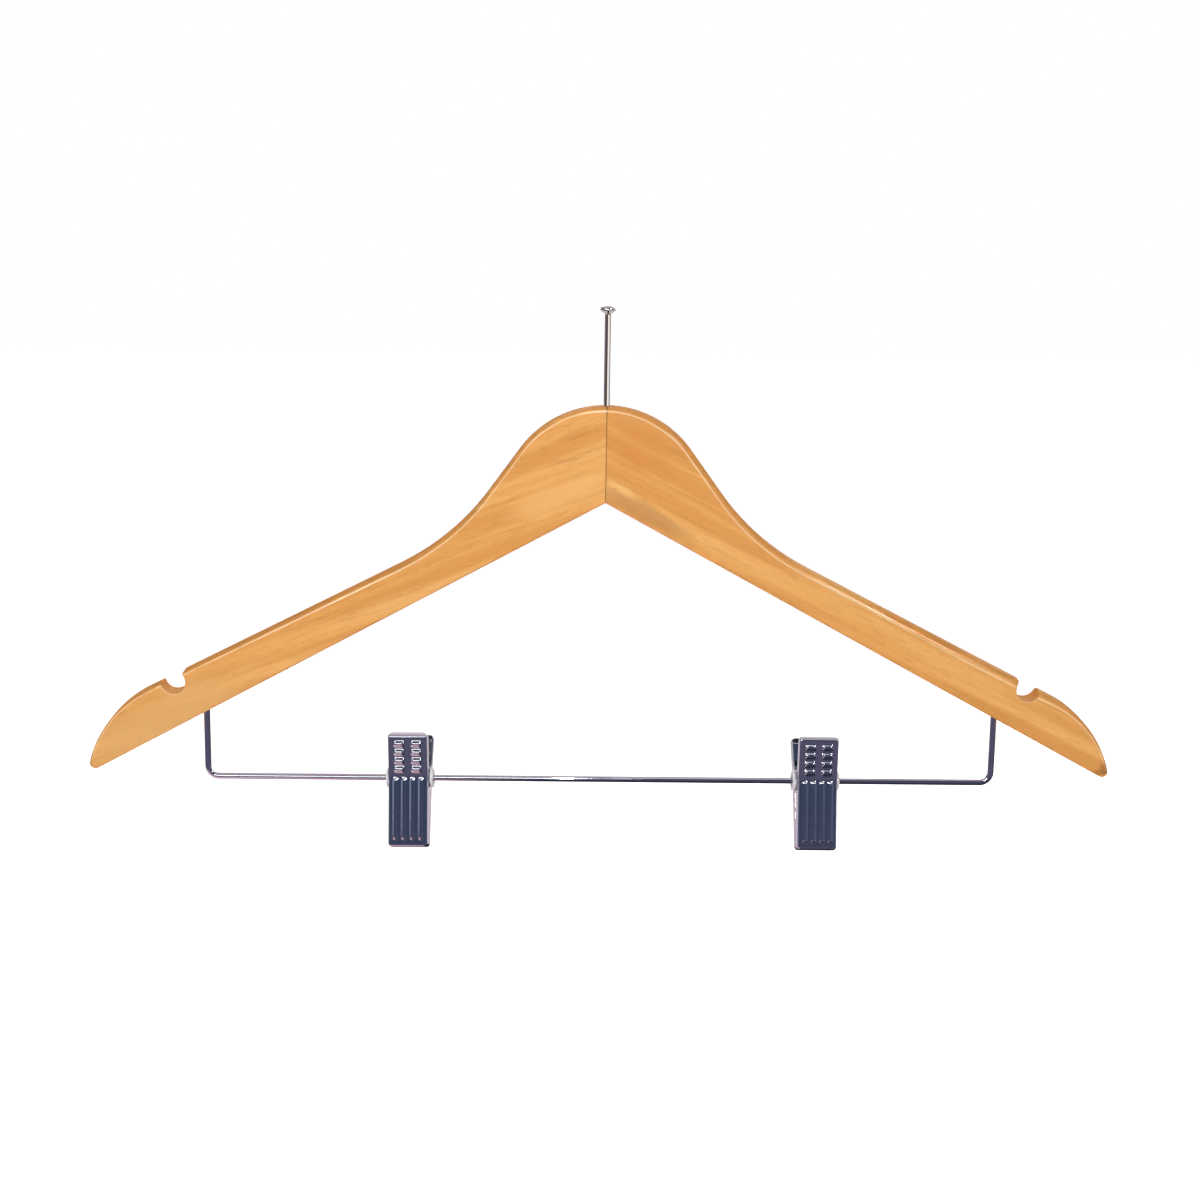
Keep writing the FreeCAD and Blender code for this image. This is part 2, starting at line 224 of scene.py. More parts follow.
def curtain(name, profile, first_turn, last_turn, cloth):
    """Hang a cloth: a line of distances and heights in metres, spun about Z between two angles from -Y."""
    bm = bmesh.new()
    verts = [bm.verts.new((0, -away, height)) for away, height in profile]
    edges = [bm.edges.new(pair) for pair in zip(verts, verts[1:])]
    first = Matrix.Rotation(math.radians(first_turn), 3, "Z")
    bmesh.ops.rotate(bm, verts=verts, cent=(0, 0, 0), matrix=first)
    bmesh.ops.spin(bm, geom=verts + edges, cent=(0, 0, 0), axis=(0, 0, 1),
                   angle=math.radians(last_turn - first_turn), steps=curtain_steps)
    reflected_only(stage_object(bm, name, cloth))


def card(name, left, right, front, back, height, cloth):
    """Lay a flat cloth at a height."""
    bm = bmesh.new()
    middle = Matrix.Translation(((left + right) / 2, (front + back) / 2, height))
    halves = Matrix.Diagonal(((right - left) / 2, (back - front) / 2, 1, 1))
    bmesh.ops.create_grid(bm, x_segments=1, y_segments=1, size=1, matrix=middle @ halves)
    reflected_only(stage_object(bm, name, cloth))


# %% Curtains
# In front the room is navy, with paler cloths far out to both sides and a pink one behind
navy = glowing_cloth("dark_blue_curtain", "Z", -0.25, 0.10, "#66627A", "#46506A")
lilac = glowing_cloth("lilac_curtain", "Z", 0.3, 2.2, "#464F6A", "#8088A6")
pale_blue = glowing_cloth("pale_blue_curtain", "Z", -0.5, 0.5, "#8C98B0", "#A0AEC4")
dim_blue = glowing_cloth("dim_blue_curtain", "Z", -0.5, 0.5, "#5E6880", "#707E98")
pink = glowing_cloth("pink_backdrop", "Z", -0.5, 1.0, "#DCCCD6", "#D2CCD4")

front_sweep = [(0.9, -0.60), (1.5, -0.50), (1.7, -0.10), (1.7, 0.36)]
high_band = [(1.72, 0.30), (1.72, 2.30)]
curtain("front_curtain", front_sweep, -125, 72, navy)
curtain("high_right_curtain", high_band, -4, 72, navy)
curtain("high_left_curtain", high_band, -125, -4, lilac)
curtain("left_curtain", [(1.6, -0.45), (1.6, 0.40)], -98, -68, pale_blue)
curtain("right_curtain", [(1.6, -0.55), (1.6, 0.55)], 58, 100, dim_blue)
curtain("back_curtain", [(2.0, -0.55), (2.0, 1.2)], 115, 245, pink)

# %% Ceiling and carpets
# The ceiling pales from front to back, and the carpet is pink under the left arm and dark from there on
pale_ceiling = glowing_cloth("pale_ceiling", "Y", -1.75, -1.35, "#6E7690", "#D8CCD8")
dark_carpet = glowing_cloth("dark_carpet", "X", -0.24, -0.03, "#F0CCD8", "#3C3C4C")
pink_carpet = glowing_cloth("pink_carpet", "X", -1.0, 1.0, "#E2D2DC", "#D8CCD8")
ceiling_z, carpet_z = 2.29, floor_z + 0.01
card("ceiling", -1.8, 1.8, -1.8, 1.8, ceiling_z, pale_ceiling)
card("carpet", -1.6, 1.6, -0.95, 0.95, carpet_z, dark_carpet)
card("back_carpet", -3.0, 3.0, 0.95, 5.0, carpet_z, pink_carpet)

# %% [markdown]
# A plain round pin mirrors one thin slice of the room, and here that slice would be all dark. Two small cards
# stand in it, close in front of the pin: a grey-brown one on the left, and a white one on the right. A third
# lies behind the neck, where the tapered underside of the pin's head can see it.

# %% Cards for the pin
pin_card = [(0.15, -0.062), (0.15, -0.010)]
head_card_z = -0.05
pale_card = glowing_cloth("white_card", "X", 0.03, 0.15, "#FFFFFF", "#C8C8C8", 1.7)
curtain("grey_card", pin_card, -75, 2, plain_cloth("grey_brown_card", "#655A52"))
curtain("white_card", pin_card, 4, 75, pale_card)
card("head_card", -0.08, 0.08, 0.01, 0.12, head_card_z, plain_cloth("pale_grey_card", "#E4E4E6"))

# %% [markdown]
# The photograph was lit from just beside the camera, a little to the left: the left half of the bar mirrors
# the lamp and the right half hardly does. The lamp there lights the wood, and cards at its place are what the
# metal and the varnish mirror: a narrow flash, with dimmer ones to its left and a faint one to its right. Two
# more cards, high on either side, prick glints into the pressed metal. A lamp overhead lifts the upper rims,
# and one behind keeps the back from going dull.

# %% Lamps
def lamp(name, place, width, height, power, mirrored):
    """Soft lamp aimed at the middle of the hanger, which metal and varnish may or may not mirror."""
    data = bpy.data.lights.new(name, "AREA")
    data.shape = "RECTANGLE"
    data.size = width
    data.size_y = height
    data.energy = power
    made = bpy.data.objects.new(name, data)
    made.location = place
    made.rotation_mode = "QUATERNION"
    made.rotation_quaternion = (aim - made.location).to_track_quat("-Z", "Y")
    made.visible_glossy = mirrored
    scene.collection.objects.link(made)


lamp("main_lamp", Vector((-0.10, -0.98, 0.20)), 0.52, 0.10, 5.7, mirrored=False)
lamp("back_lamp", Vector((0.3, 1.6, 0.2)), 1.0, 1.0, 9.0, mirrored=True)
lamp("top_lamp", Vector((0, 0.1, 1.25)), 1.4, 0.3, 3.0, mirrored=False)

# Each card by its first and last turn from -Y in degrees, its foot and top in metres, and its brightness
card_away = 0.97
for name, first_turn, last_turn, foot, top, brightness in (
    ("flash", -0.85, -0.35, 0.12, 0.28, 450),
    ("dim_right", -0.35, 3, 0.16, 0.24, 5),
    ("dim", -14, -0.85, 0.15, 0.25, 11),
    ("left", -31, -14, 0.15, 0.25, 11),
    ("left_glint", -50, -36, 0.35, 0.55, 14),
    ("right_glint", 40, 52, 0.35, 0.55, 30),
):
    shine = plain_cloth(name + "_white", "#FFFFFF", brightness)
    curtain(name + "_card", [(card_away, foot), (card_away, top)], first_turn, last_turn, shine)

# %% [markdown]
# The arms are beech under a clear gloss varnish. Beech has a soft honey tone in wide bands along the board,
# a few narrow darker streaks, and many short fine flecks. An image could carry that, but noise stretched
# along the grain costs nothing and runs right through the board, so it also fits the ends and the notches.
# Each board has its own grain direction, because the two arms are cut from one straight plank each.

# %% Grain of the beech
# Each layer of noise: length, depth and width of its features in millimetres, then detail and wander.
# Real flecks and fibres are under half a millimetre wide, and are drawn coarser here so that they show
grain_layers = {
    "bands": (150, 30, 8, 2.0, 0.6),
    "streaks": (60, 12, 2.2, 2.0, 0.5),
    "fibres": (9, 1.5, 0.55, 2.0, 0.2),
    "flecks": (4.0, 1.2, 0.8, 1.0, 0.2),
    "ragged": (14, 8, 3.0, 2.0, 0.0),
}


def grain_noise(tree, place, lean, shift):
    """Outputs of each layer of noise, stretched along a grain that leans by an angle about Y."""
    noise = {}
    for layer, (along, through, across, detail, wander) in grain_layers.items():
        stretched = put(tree, "Mapping", {
            "Vector": place,
            "Location": shift,
            "Rotation": (0, lean, 0),
            "Scale": (along * mm, through * mm, across * mm),
        }, vector_type="TEXTURE")
        noise[layer] = put(tree, "TexNoise", {
            "Vector": stretched.outputs[0], "Scale": 1.0, "Detail": detail, "Distortion": wander,
        }).outputs
    return noise


print("grain layers:", ", ".join(grain_layers))

# %% [markdown]
# Each board also has its own marks: a cloudy patch, a grey mineral streak or a bruise. A mark is a soft
# ellipse, and a little noise moves the place where it is looked up, so that its edge is ragged.

# %% Marks in the boards
# Marks by place (x, z), half length, half width and lean, in mm and degrees, then colour and strength
left_marks = [
    (-20, -79, 30, 9, -22, "#F7C07A", 0.60),
    (-15, -63, 10, 1.6, -17, "#C8803E", 0.30),
    (-12, -52, 16, 2.0, -19, "#D08C48", 0.45),
    (-190, -178, 60, 14, -28, "#E8BA78", 0.55),
    (-120, -122, 22, 2.0, -27, "#C88743", 0.45),
]
right_marks = [
    (14, -58, 26, 13, 28, "#D98F49", 0.50),
    (17, -85.5, 30, 5.5, 28.6, "#BC8650", 0.60),
    (7, -75, 9, 2.2, 28, "#F8CC8A", 0.60),
    (100, -117, 30, 6, 28, "#F4BE78", 0.45),
    (219.5, -197, 3.5, 5, 50, "#7C4A22", 0.60),
]
ragged_edge, mark_full = 7 * mm, 0.7
middle_grey = (0.5, 0.5, 0.5, 1)


def mark_stains(tree, place, ragged, marks):
    """Stains for a board's marks: for each a mask, where it sets in and is full, a colour and a strength."""
    drift = put(tree, "MixRGB", {0: 1.0, 1: ragged, 2: middle_grey}, blend_type="SUBTRACT")
    drift = put(tree, "VectorMath", {0: drift.outputs[0], "Scale": ragged_edge}, operation="SCALE")
    wandered = put(tree, "VectorMath", {0: place, 1: drift.outputs[0]}, operation="ADD").outputs[0]
    stains = []
    for x, z, half_length, half_width, lean, colour, strength in marks:
        centred = put(tree, "Mapping", {
            "Vector": wandered,
            "Location": (x * mm, 0, z * mm),
            "Rotation": (0, math.radians(lean), 0),
            "Scale": (half_length * mm, 1, half_width * mm),
        }, vector_type="TEXTURE")
        blot = put(tree, "TexGradient", {"Vector": centred.outputs[0]}, gradient_type="SPHERICAL")
        stains.append((blot.outputs[1], 0.0, mark_full, colour, strength))
    return stains


print("marks in the left and right boards:", len(left_marks), len(right_marks))

# %% [markdown]
# A thin pale line runs along the upper rim, just where the face starts to roll over. It is a painted highlight:
# the lamp's glint in the varnish, put into the colour. A line could be painted along each edge, but the rim is
# wherever the board is nearly at its full thickness, so the distance from the middle plane finds it, and the
# slope of the surface keeps only the upper side, where the lamp glints.

# %% Painted highlight on the rim
half_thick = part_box("left_arm")[1].y
line_y, line_half, line_fade = half_thick - 0.11 * mm, 0.04 * mm, 0.09 * mm
slope_start, slope_full = 0.06, 0.14


def painted_rim_highlight(tree, side):
    """Mask of the painted highlight line on the rim, from the distance of each point to the middle plane."""
    normal = put(tree, "NewGeometry", {}).outputs["Normal"]
    upward = put(tree, "SeparateXYZ", {0: normal}).outputs["Z"]
    upper = put(tree, "MapRange", {"Value": upward, "From Min": slope_start, "From Max": slope_full})
    away = put(tree, "Math", {0: side, 1: line_y}, operation="SUBTRACT").outputs[0]
    away = put(tree, "Math", {0: away}, operation="ABSOLUTE").outputs[0]
    line = put(tree, "MapRange", {"Value": away, "From Min": line_fade, "From Max": line_half})
    return put(tree, "Math", {0: line.outputs[0], 1: upper.outputs[0]}, operation="MULTIPLY").outputs[0]


print("arms are", round(half_thick * 2 / mm, 2), "mm thick")

# %% [markdown]
# The finish is honey-coloured wood with the grain, the marks, the seam and the painted rim highlight laid over
# it one by one as stains. The flat faces are varnished twice and gleam. The sawn edges soak the varnish up, so
# they stay duller, and they are painted darker, partly for the soaked-up varnish and partly as painted shade.

# %% Varnished beech
edge_start, edge_full = half_thick - 0.18 * mm, half_thick - 0.6 * mm
gloss_start, gloss_full = half_thick - 0.8 * mm, half_thick - 0.15 * mm
seam_fade, seam_half = 0.28 * mm, 0.10 * mm
fibre_rise = 0.04 * mm


def varnished_beech(name, lean, shift, marks):
    """Beech whose grain leans by an angle about Y, under a varnish that gives soft wood a sharp gloss."""
    wood, tree, shader = new_finish(name)
    place = put(tree, "TexCoord", {}).outputs["Object"]
    axes = put(tree, "SeparateXYZ", {0: place}).outputs
    from_seam = put(tree, "Math", {0: axes["X"]}, operation="ABSOLUTE").outputs[0]
    side = put(tree, "Math", {0: axes["Y"]}, operation="ABSOLUTE").outputs[0]
    noise = grain_noise(tree, place, lean, shift)

    # Each stain: where it shows, the range over which it sets in, its colour and its strength
    stains = [
        # Darker edges: partly the varnish that the sawn edges soak up, partly painted shade where they turn from
        # the lamp
        (side, edge_start, edge_full, "#BE7638", 0.55),
        (noise["bands"][0], 0.44, 0.64, "#DC9850", 0.65),
        (noise["bands"][0], 0.50, 0.34, "#F3BC76", 0.60),
        (noise["streaks"][0], 0.54, 0.74, "#CC8A46", 0.40),
        (noise["fibres"][0], 0.48, 0.74, "#D2904A", 0.34),
        (noise["flecks"][0], 0.56, 0.74, "#C38342", 0.24),
        *mark_stains(tree, place, noise["ragged"][1], marks),
        (from_seam, seam_fade, seam_half, "#5A2E10", 0.80),
        # Painted highlight: the lamp's glint along the upper rim, put into the colour as a pale line
        (painted_rim_highlight(tree, side), 0.0, 1.0, "#FCE4B6", 0.60),
    ]
    colour = linear("#ECAD62")
    for mask, start, full, stain, strength in stains:
        amount = put(tree, "MapRange", {
            "Value": mask, "From Min": start, "From Max": full, "To Max": strength,
        }, interpolation_type="SMOOTHSTEP").outputs[0]
        stained = put(tree, "Mix", {0: amount, 6: colour, 7: linear(stain)}, data_type="RGBA")
        colour = stained.outputs[2]

    gloss = put(tree, "MapRange", {
        "Value": side, "From Min": gloss_start, "From Max": gloss_full, "To Min": 0.04, "To Max": 0.9,
    })
    relief = put(tree, "Bump", {"Height": noise["fibres"][0], "Strength": 0.2, "Distance": fibre_rise})
    feed(tree, shader, {
        "Base Color": colour,
        "Coat Weight": gloss.outputs[0],
        "Normal": relief.outputs[0],
        "Roughness": 0.65,
        "Specular IOR Level": 0,
        "Coat Roughness": 0.1,
        "Coat IOR": 1.5,
    })
    return wood


left_beech = varnished_beech("varnished_beech_left", math.radians(-21), (0.3, 0.1, 0.2), left_marks)
right_beech = varnished_beech("varnished_beech_right", math.radians(27), (-0.2, 0.4, -0.3), right_marks)
print("wood finishes:", left_beech.name, right_beech.name)

# %% [markdown]
# A finished mesh becomes a piece of the part by two facts: the CAD node that it stands for, which it hides,
# and the body that carries it when a joint moves.

# %% Pieces of the part
# Edges that turn by more degrees than this stay crisp, and corners closer than this in mm are merged
crisp_angle, weld = 40, 0.001


def soften(bm, angle):
    """Shade a bmesh smooth, and keep the edges crisp that turn by more than an angle in degrees."""
    for face in bm.faces:
        face.smooth = True
    for edge in bm.edges:
        edge.smooth = edge.calc_face_angle(math.pi) < math.radians(angle)


def body_of(node):
    """Name of the CAD body that carries a node."""
    bodies = frame["record"]["behaviour"]["bodies"]
    return next(body for body, nodes in bodies.items() if node in nodes)


def dressed(bm, node, finish):
    """Turn a bmesh into the object that stands for a CAD node."""
    made = object_of(bm, node + "_dressed", finish)
    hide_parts(node)
    print(made.name, "has", len(made.data.polygons), "faces")
    return made


def piece(bm, node, finish):
    """Turn a bmesh into the piece that stands for a CAD node and rides its body."""
    made = dressed(bm, node, finish)
    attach(made, body_of(node))
    return made


# %% [markdown]
# The arms' shape is already right in the CAD model, with its rounded rims and milled notches.
# A node's mesh is loose triangles, so a copy is merged first and then shaded smooth, and a weighted-normal
# modifier keeps the big flat faces flat while the rims roll over softly.

# %% Arms
def merged_copy(node):
    """Copy of a CAD node's triangles with their shared corners merged."""
    bm = bmesh.new()
    bm.from_mesh(frame["nodes"][node].data)
    bmesh.ops.remove_doubles(bm, verts=bm.verts, dist=weld * mm)
    return bm


for node, finish in (("left_arm", left_beech), ("right_arm", right_beech)):
    bm = merged_copy(node)
    soften(bm, crisp_angle)
    arm = piece(bm, node, finish)
    weighted = arm.modifiers.new("flat_faces_stay_flat", "WEIGHTED_NORMAL")
    weighted.keep_sharp = True

# %% [markdown]
# Bright chrome is a very smooth mirror with a slightly blue grey, and thin pressed sheet is never quite flat,
# so its reflections waver. The wavering is a soft noise in a very shallow bump, and handling adds a faint
# bloom, a noise in the roughness. The bar's chrome lies on drawn wire, which is straighter than sheet.
# Nickel on the pin is a little warmer, and the spring is plain drawn wire.

# %% Plated metals
dent_size = 3.5


def plated_metal(name, colour, smooth, bloom, spot, waver):
    """Mirror with a roughness between two values, in spots of a size and over dents of a depth in mm."""
    metal, tree, shader = new_finish(name)
    place = put(tree, "TexCoord", {}).outputs["Object"]
    cloud = put(tree, "TexNoise", {"Vector": place, "Scale": 1 / (spot * mm), "Detail": 3.0})
    rough = put(tree, "MapRange", {
        "Value": cloud.outputs[0], "From Min": 0.4, "From Max": 0.7, "To Min": smooth, "To Max": bloom,
    })
    dents = put(tree, "TexNoise", {"Vector": place, "Scale": 1 / (dent_size * mm), "Detail": 1.0})
    relief = put(tree, "Bump", {"Height": dents.outputs[0], "Strength": 1.0, "Distance": waver * mm})
    feed(tree, shader, {
        "Base Color": linear(colour),
        "Metallic": 1,
        "Roughness": rough.outputs[0],
        "Normal": relief.outputs[0],
    })
    return metal


chrome = plated_metal("bright_chrome_plate", "#C8CAD0", 0.02, 0.06, 6, 0.05)
wire_chrome = plated_metal("bright_chrome_wire", "#C8CAD0", 0.02, 0.06, 6, 0.012)
nickel = plated_metal("polished_nickel_plate", "#CFCAC4", 0.05, 0.10, 5, 0.01)
spring_steel = plated_metal("drawn_spring_steel", "#96969A", 0.25, 0.35, 2, 0.02)
print("metals:", chrome.name, wire_chrome.name, nickel.name, spring_steel.name)

# %% [markdown]
# The security pin is a plain nail: a crowned head, a straight shank and a point that is buried in the wood.
# It could be stacked from cylinders and a sphere, but a turned part is most simply one profile line, spun
# once round its axis. It is drawn in millimetres and then made small. A ring close to each end of the shank
# keeps the shading of the straight stretch straight.

# %% Security pin
in_metres = Matrix.Diagonal((mm, mm, mm, 1))
turned_sides = 40


def turned(points, axis):
    """Spin a line of points, given as distance from the axis and place along it, once round an axis."""
    bm = bmesh.new()
    across = Vector((1, 0, 0)) if axis.z else Vector((0, 0, 1))
    verts = [bm.verts.new(across * radius + axis * along) for radius, along in points]
    edges = [bm.edges.new(pair) for pair in zip(verts, verts[1:])]
    bmesh.ops.spin(bm, geom=verts + edges, cent=(0, 0, 0), axis=axis, angle=math.tau, steps=turned_sides,
                   use_merge=True)
    bmesh.ops.remove_doubles(bm, verts=bm.verts, dist=weld)
    bmesh.ops.recalc_face_normals(bm, faces=bm.faces)
    return bm


crown_radius, crown_foot, crown_rise = 3.2, 0.45, 1.3
crown_turns = [math.radians(turn) for turn in range(0, 91, 10)]
crown = [(crown_radius * math.sin(turn), crown_foot + crown_rise * math.cos(turn)) for turn in crown_turns]
rim = [(3.34, 0.38), (3.4, 0.25), (3.4, -0.25), (3.34, -0.4), (3.2, -0.5)]
neck = [(1.6, -1.7), (1.45, -1.9)]

shank_radius, shank_top, wood_top, shank_foot, point = 1.4, -2.2, -48.0, -63.7, -66.7
support = 0.5
shank_rings = (shank_top, shank_top - support, wood_top, shank_foot + support, shank_foot)
shank = [(shank_radius, ring) for ring in shank_rings] + [(0, point)]

bm = turned(crown + rim + neck + shank, Vector((0, 0, 1)))
bm.transform(in_metres)
soften(bm, crisp_angle)
piece(bm, "security_pin", nickel)

# %% [markdown]
# The bar is one round wire, bent twice. A curve with a round bevel would do, but here the wire is drawn as it
# is bent: a ring is pulled down the leg, swung round the bend, pulled along, swung again and pulled up.

# %% Wire bar
wire_sides, bend_steps = 32, 12


def pulled(bm, ring, way):
    """Pull a ring of edges along, and return the ring at the far end."""
    made = bmesh.ops.extrude_edge_only(bm, edges=ring)["geom"]
    bmesh.ops.translate(bm, verts=[part for part in made if isinstance(part, bmesh.types.BMVert)], vec=way)
    far = [part for part in made if isinstance(part, bmesh.types.BMEdge)]
    return [edge for edge in far if edge.is_boundary]


def bent(bm, ring, centre):
    """Swing a ring of edges a quarter turn about Y, and return the ring at the far end."""
    verts = list({vert for edge in ring for vert in edge.verts})
    made = bmesh.ops.spin(bm, geom=verts + ring, cent=centre, axis=(0, 1, 0), angle=math.radians(-90),
                          steps=bend_steps)
    return [part for part in made["geom_last"] if isinstance(part, bmesh.types.BMEdge)]


low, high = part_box("clip_bar")
wire, bend = 1.4 * mm, 4.7 * mm
leg_x, bar_z = high.x - wire, low.z + wire
bend_x, bend_z = leg_x - bend, bar_z + bend
leg = Vector((0, 0, high.z - bend_z))

bm = bmesh.new()
top = Matrix.Translation((-leg_x, 0, high.z))
ring = bmesh.ops.create_circle(bm, cap_ends=False, segments=wire_sides, radius=wire, matrix=top)["verts"]
ring = list({edge for vert in ring for edge in vert.link_edges})
ring = pulled(bm, ring, -leg)
ring = bent(bm, ring, (-bend_x, 0, bend_z))
ring = pulled(bm, ring, Vector((bend_x * 2, 0, 0)))
ring = bent(bm, ring, (bend_x, 0, bend_z))
pulled(bm, ring, leg)
bmesh.ops.holes_fill(bm, edges=[edge for edge in bm.edges if edge.is_boundary], sides=0)
bmesh.ops.recalc_face_normals(bm, faces=bm.faces)
soften(bm, crisp_angle)
piece(bm, "clip_bar", wire_chrome)
print("bar runs at", round(bar_z, 5), "with legs at", round(leg_x, 5))

# %% [markdown]
# Both clips are the same pressing. Each piece is drawn in millimetres about the clip's own pivot, front to
# -Y, and a matrix then swings it back, skews it and carries it to its place on the bar. The pivots come from
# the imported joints, so the drawn clips turn about the very line that the joints turn about.

# %% Clip places
swing_back = math.radians(-20)
clip_place = {}
for joint in frame["joints"]:
    if joint["name"].endswith("_clip_swing"):
        side = joint["name"].split("_")[0]
        twist = math.asin(joint["axis"][1] / math.cos(swing_back))
        turn = Matrix.Rotation(swing_back, 4, "X") @ Matrix.Rotation(twist, 4, "Z")
        clip_place[side] = Matrix.Translation(joint["pos_m"]) @ turn @ in_metres
        print(side, "clip hangs at", [round(part, 4) for part in clip_place[side].translation])

# %% [markdown]
# A jaw is sheet steel, pressed in one stroke: ribs down the jaw, dashes across the handle for the fingers,
# and the rim folded back into walls. It could be carved from a block, but it is closer to the real thing to
# start with a flat sheet of small squares, fold its border round, push the border back as walls, give the
# sheet its thickness and only then press the pattern, bend the sheet at the pivot and lean its top back as
# a lip.

# %% Side view of a jaw
plate_half, plate_top, plate_foot = 8.7, 19.2, -30.5
pivot_depth, mean_slope, bend_slope, bend_soft = 7.4, 0.1725, 0.0775, 0.93
lip_foot, lip_lean, lip_soft = 17.3, 1.3, 0.3
handle_wall, jaw_gap = 4.3, 0.2


def straight_depth(z):
    """Where the outer face of two straight runs lies at a height, softly bent at the pivot between them."""
    return -pivot_depth - mean_slope * z - bend_slope * math.hypot(z, bend_soft)


def plate_depth(z):
    """Where the plate's outer face lies at a height: the straight runs, and a lip leaning back at the top."""
    over = z - lip_foot
    return straight_depth(z) + lip_lean * (over + math.hypot(over, lip_soft)) / 2


def wall_depth(z, free_radius):
    """How far a wall reaches back: deep in the jaw, shallow on the handle, and clear round the pivot."""
    rim = straight_depth(z) + handle_wall if z > 0 else -jaw_gap
    if abs(z) < free_radius:
        rim = min(rim, -math.sqrt(free_radius ** 2 - z ** 2))
    return rim - plate_depth(z)


for z in (plate_top, lip_foot, 0, plate_foot):
    print("at height", z, "the plate's face lies at", round(plate_depth(z), 2), "mm")

# %% Sheet folded into a tray
sheet, fold = 0.8, 1.1
fold_steps, wall_steps = 6, 4
squares_across, squares_up = 64, 192
near = 0.01


def verts_of(made):
    """Vertices among the geometry that an operator returns."""
    return [part for part in made["geom"] if isinstance(part, bmesh.types.BMVert)]


def folded_tray(free_radius):
    """Sheet with its border folded back into walls, still unbent, its outer face at depth 0 towards -Y."""
    bm = bmesh.new()
    upright = Matrix.Rotation(math.radians(90), 4, "X")
    bmesh.ops.create_grid(bm, x_segments=squares_across, y_segments=squares_up, size=1, matrix=upright)
    low, high = plate_foot + fold, plate_top - fold
    for vert in bm.verts:
        vert.co.z = low + (vert.co.z + 1) / 2 * (high - low)
        vert.co.x *= plate_half - fold
    for step in range(fold_steps):
        before, after = (math.radians(90 * turn / fold_steps) for turn in (step, step + 1))
        outward, back = math.sin(after) - math.sin(before), math.cos(before) - math.cos(after)
        left_over = fold * (1 - math.sin(before)) + near
        border = [edge for edge in bm.edges if edge.is_boundary]
        for vert in verts_of(bmesh.ops.extrude_edge_only(bm, edges=border)):
            x, _, z = vert.co
            if abs(x) > plate_half - left_over:
                vert.co.x += math.copysign(fold * outward, x)
            if z > plate_top - left_over or z < plate_foot + left_over:
                vert.co.z += math.copysign(fold * outward, z)
            vert.co.y += fold * back
    for step in range(wall_steps):
        border = [edge for edge in bm.edges if edge.is_boundary]
        for vert in verts_of(bmesh.ops.extrude_edge_only(bm, edges=border)):
            wall = wall_depth(vert.co.z, free_radius)
            vert.co.y = fold + (wall - fold) * (step + 1) / wall_steps
    return bm


print("sheet of", squares_across * squares_up, "squares is", sheet, "mm thick, folded by", fold, "mm")

# %% Pressed pattern
# Each column of dashes stands between two ribs
rib_pitch, rib_low, rib_high, rib_half_width = 3.75, -26.2, -1.7, 1.4
rib_places = [rib_pitch * (index - 1.5) for index in range(4)]
dash_foot, dash_pitch, dash_half_run, dash_half_width = 3.0, 3.6, 1.25, 1.65
dash_places = [(hand * rib_pitch, dash_foot + dash_pitch * row) for hand in (-1, 1) for row in range(4)]
press_rise = 0.7


def press_height(x, z):
    """Height of the pressed pattern over the plate: upright ribs in the jaw, and dashes on the handle."""
    from_rib = z - min(max(z, rib_low), rib_high)
    shares = [math.hypot(x - place, from_rib) / rib_half_width for place in rib_places]
    for across, up in dash_places:
        shares.append(math.hypot(max(abs(x - across) - dash_half_run, 0), z - up) / dash_half_width)
    return press_rise * max(1 - min(shares) ** 2, 0) ** 2


print("pattern:", len(rib_places), "ribs and", len(dash_places), "dashes, up to", press_rise, "mm high")

# %% Tray rounded, thickened, pressed and bent
corner, cut_angle, cut_round = 1.6, 60, 0.2


def pressed_jaw(free_radius):
    """Finished sheet of one jaw, without its ears."""
    bm = folded_tray(free_radius)
    middle, half_height = (plate_top + plate_foot) / 2, (plate_top - plate_foot) / 2
    for vert in bm.verts:
        across = abs(vert.co.x) - (plate_half - corner)
        up = abs(vert.co.z - middle) - (half_height - corner)
        if across > 0 and up > 0:
            pull = max(across, up) / math.hypot(across, up)
            vert.co.x = math.copysign(plate_half - corner + across * pull, vert.co.x)
            vert.co.z = middle + math.copysign(half_height - corner + up * pull, vert.co.z - middle)
    bmesh.ops.recalc_face_normals(bm, faces=bm.faces)
    if sum(face.normal.y for face in bm.faces) > 0:
        bmesh.ops.reverse_faces(bm, faces=bm.faces)
    bmesh.ops.solidify(bm, geom=bm.faces[:], thickness=sheet)
    cut = [edge for edge in bm.edges if edge.calc_face_angle(0) > math.radians(cut_angle)]
    bmesh.ops.bevel(bm, geom=cut, offset=cut_round, segments=2, affect="EDGES", profile=0.5, material=-1)
    for vert in bm.verts:
        if abs(vert.co.y) < near:
            vert.co.y -= press_height(vert.co.x, vert.co.z)
        vert.co.y += plate_depth(vert.co.z)
    return bm


print("corners are rounded by", corner, "mm and cut edges by", cut_round, "mm")

# %% [markdown]
# Each wall carries an ear with a hole for the bush. On the front jaw the ears are in the walls. The back jaw
# is the same pressing turned round, with its ears set in far enough to turn inside the front ones, each on
# a tongue from the plate.

# %% Ears and tongues
hole_radius, ear_radius, ear_sides = 3.16, 4.8, 48
tongue_height, tongue_foot, tongue_end = 2 * ear_radius - 0.6, 0.4, -3.4


